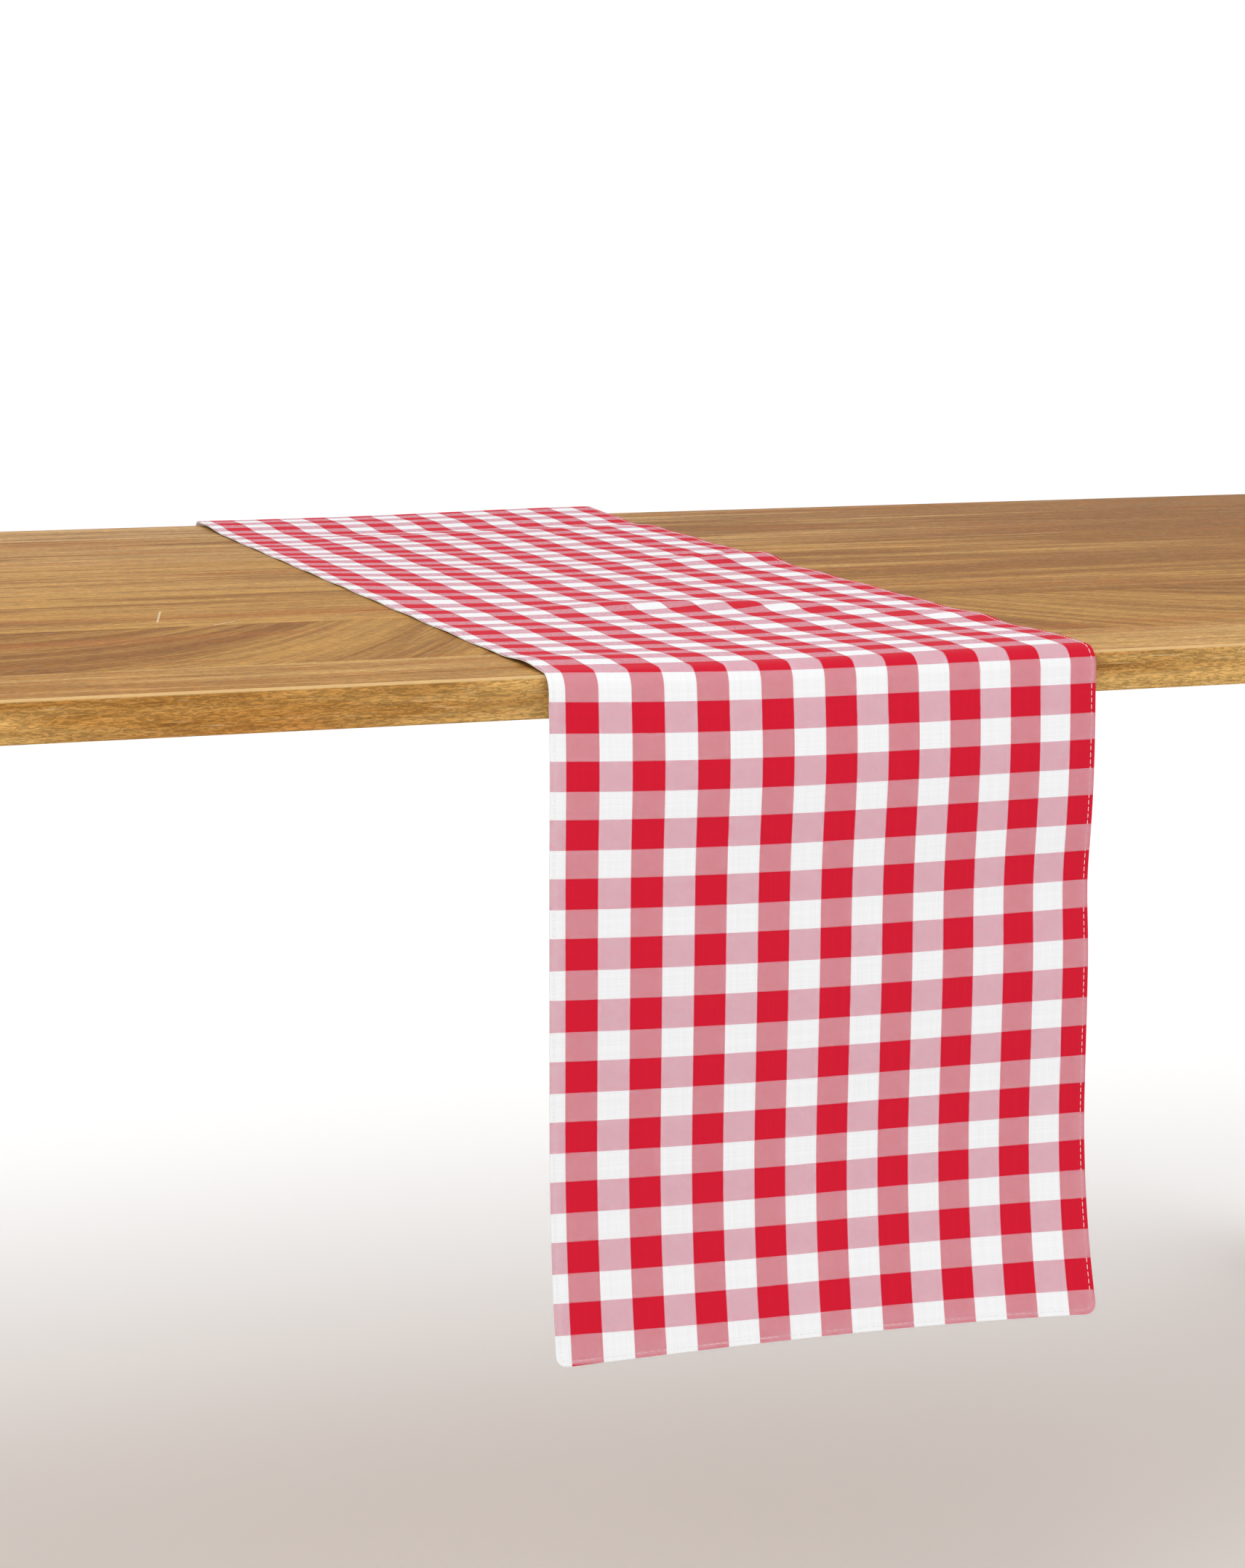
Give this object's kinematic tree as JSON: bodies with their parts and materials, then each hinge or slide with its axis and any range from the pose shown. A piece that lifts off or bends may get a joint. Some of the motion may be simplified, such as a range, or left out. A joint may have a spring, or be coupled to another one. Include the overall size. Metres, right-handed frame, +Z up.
{
  "type": "table with cloth runner",
  "caption": "Two-layer gingham table runner laid across a wooden table, with a long end hanging over the front edge and a short end over the back.",
  "frame": {"origin": "on the floor, under the middle of the table", "axes": "+Z up, X along the table's length, -Y towards the front edge that the long end of the runner hangs over"},
  "size_m": [2, 1.018, 0.7595],
  "materials": {
    "top_wood": "oiled hardwood, satin",
    "frame_wood": "oiled hardwood, satin",
    "fastener_steel": "zinc plated",
    "glide_plastic": "matt",
    "gingham_cloth": "red and white yarn-dyed gingham, plain weave",
    "backing_cloth": "plain weave, undyed white"
  },
  "bodies": {
    "table": {"top_board_1": "top_wood", "top_board_2": "top_wood", "top_board_3": "top_wood", "top_board_4": "top_wood", "top_board_5": "top_wood", "top_board_6": "top_wood", "loose_tongue_1": "frame_wood", "loose_tongue_2": "frame_wood", "loose_tongue_3": "frame_wood", "loose_tongue_4": "frame_wood", "loose_tongue_5": "frame_wood", "bearer_left": "frame_wood", "bearer_right": "frame_wood", "spine": "frame_wood", "end_rail_left": "frame_wood", "end_rail_right": "frame_wood", "spine_bolt_left": "fastener_steel", "spine_bolt_right": "fastener_steel", "leg_front_left": "frame_wood", "leg_front_right": "frame_wood", "leg_back_left": "frame_wood", "leg_back_right": "frame_wood", "tenon_peg_front_left": "frame_wood", "tenon_peg_front_right": "frame_wood", "tenon_peg_back_left": "frame_wood", "tenon_peg_back_right": "frame_wood", "glide_front_left": "glide_plastic", "glide_front_right": "glide_plastic", "glide_back_left": "glide_plastic", "glide_back_right": "glide_plastic", "top_screw_left_1": "fastener_steel", "top_screw_left_2": "fastener_steel", "top_screw_left_3": "fastener_steel", "top_screw_left_4": "fastener_steel", "top_screw_right_1": "fastener_steel", "top_screw_right_2": "fastener_steel", "top_screw_right_3": "fastener_steel", "top_screw_right_4": "fastener_steel"},
    "runner": {"runner_backing": "backing_cloth", "runner_face": "gingham_cloth"},
    "front_drop": {"front_drop_backing": "backing_cloth", "front_drop_face": "gingham_cloth"},
    "back_drop": {"back_drop_backing": "backing_cloth", "back_drop_face": "gingham_cloth"}
  },
  "joints": [
    {"name": "runner_slide", "type": "slide", "parent": "table", "child": "runner", "axis": [1, 0, 0], "range_m": [-0.8, 0.8]},
    {"name": "front_drop_lift", "type": "hinge", "parent": "runner", "child": "front_drop", "pos_m": [0, -0.50071, 0.75121], "axis": [-1, 0, 0], "range_deg": [0, 90]},
    {"name": "back_drop_lift", "type": "hinge", "parent": "runner", "child": "back_drop", "pos_m": [0, 0.50071, 0.75121], "axis": [1, 0, 0], "range_deg": [0, 90]}
  ]
}
